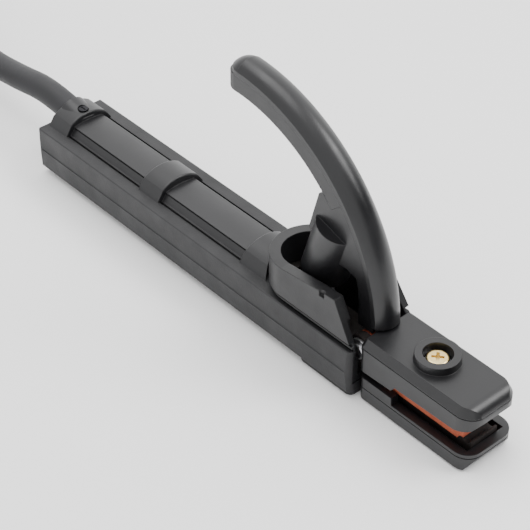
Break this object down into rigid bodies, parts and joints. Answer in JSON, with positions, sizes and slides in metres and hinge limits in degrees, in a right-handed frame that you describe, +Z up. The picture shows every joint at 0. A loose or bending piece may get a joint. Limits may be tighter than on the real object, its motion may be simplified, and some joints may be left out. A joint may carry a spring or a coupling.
{
  "type": "electrode holder",
  "caption": "Insulated tong-style electrode holder for stick welding: sprung upper jaw with thumb lever, ribbed handle, spring guard and a tied cable with a ring lug.",
  "frame": {"origin": "on the rest face (underside of the belly pad), straight below the hinge pin", "axes": "+X from the handle towards the jaws, +Z up through the lever, +Y to the holder's left seen from the cable end"},
  "size_m": [0.5762, 0.0805, 0.1006],
  "materials": {
    "black_plastic": "fine moulded grain",
    "guard_plastic": "smooth moulded, semi-matt",
    "lever_plastic": "smooth moulded, satin",
    "cover_plastic": "smooth moulded, satin",
    "pad_rubber": "matt",
    "cable_rubber": "matt, slightly dusty",
    "boot_rubber": "matt",
    "dark_metal": "blackened, dull",
    "red_copper": "dull brick-red copper",
    "bare_copper": "bare stranded copper",
    "lug_metal": "tinned",
    "screw_steel": "black oxide",
    "pin_steel": "ground",
    "spring_steel": "drawn wire",
    "gilt_steel": "yellow zinc plate",
    "red_fibre": "vulcanised fibre"
  },
  "bodies": {
    "holder": {"handle_shell": "black_plastic", "spring_guard": "guard_plastic", "belly_pad": "pad_rubber", "lower_tong": "dark_metal", "lower_jaw_cover": "cover_plastic", "lower_cover_screw": "screw_steel", "hinge_pin": "pin_steel", "hinge_pin_clips": "pin_steel", "hinge_washers": "red_fibre", "spring_seat": "guard_plastic", "jaw_spring": "spring_steel", "neck_screw": "screw_steel", "cable_set_screws": "screw_steel", "conductor": "bare_copper", "cable_tube": "cable_rubber", "cable_hank": "cable_rubber", "cable_ties": "boot_rubber", "cable_tail": "cable_rubber", "lug_boot": "boot_rubber", "cable_lug": "lug_metal"},
    "lever": {"upper_tong": "red_copper", "lever_cap": "lever_plastic", "lever_rib": "lever_plastic", "upper_jaw_cover": "cover_plastic", "upper_cover_screw": "gilt_steel", "upper_screw_washer": "pin_steel"}
  },
  "joints": [
    {"name": "lever_hinge", "type": "hinge", "parent": "holder", "child": "lever", "pos_m": [0, 0, 0.018], "axis": [0, -1, 0], "range_deg": [0, 22], "stiffness_Nm_per_rad": 4, "springref_deg": -34.38, "deforming": ["jaw_spring"]}
  ]
}
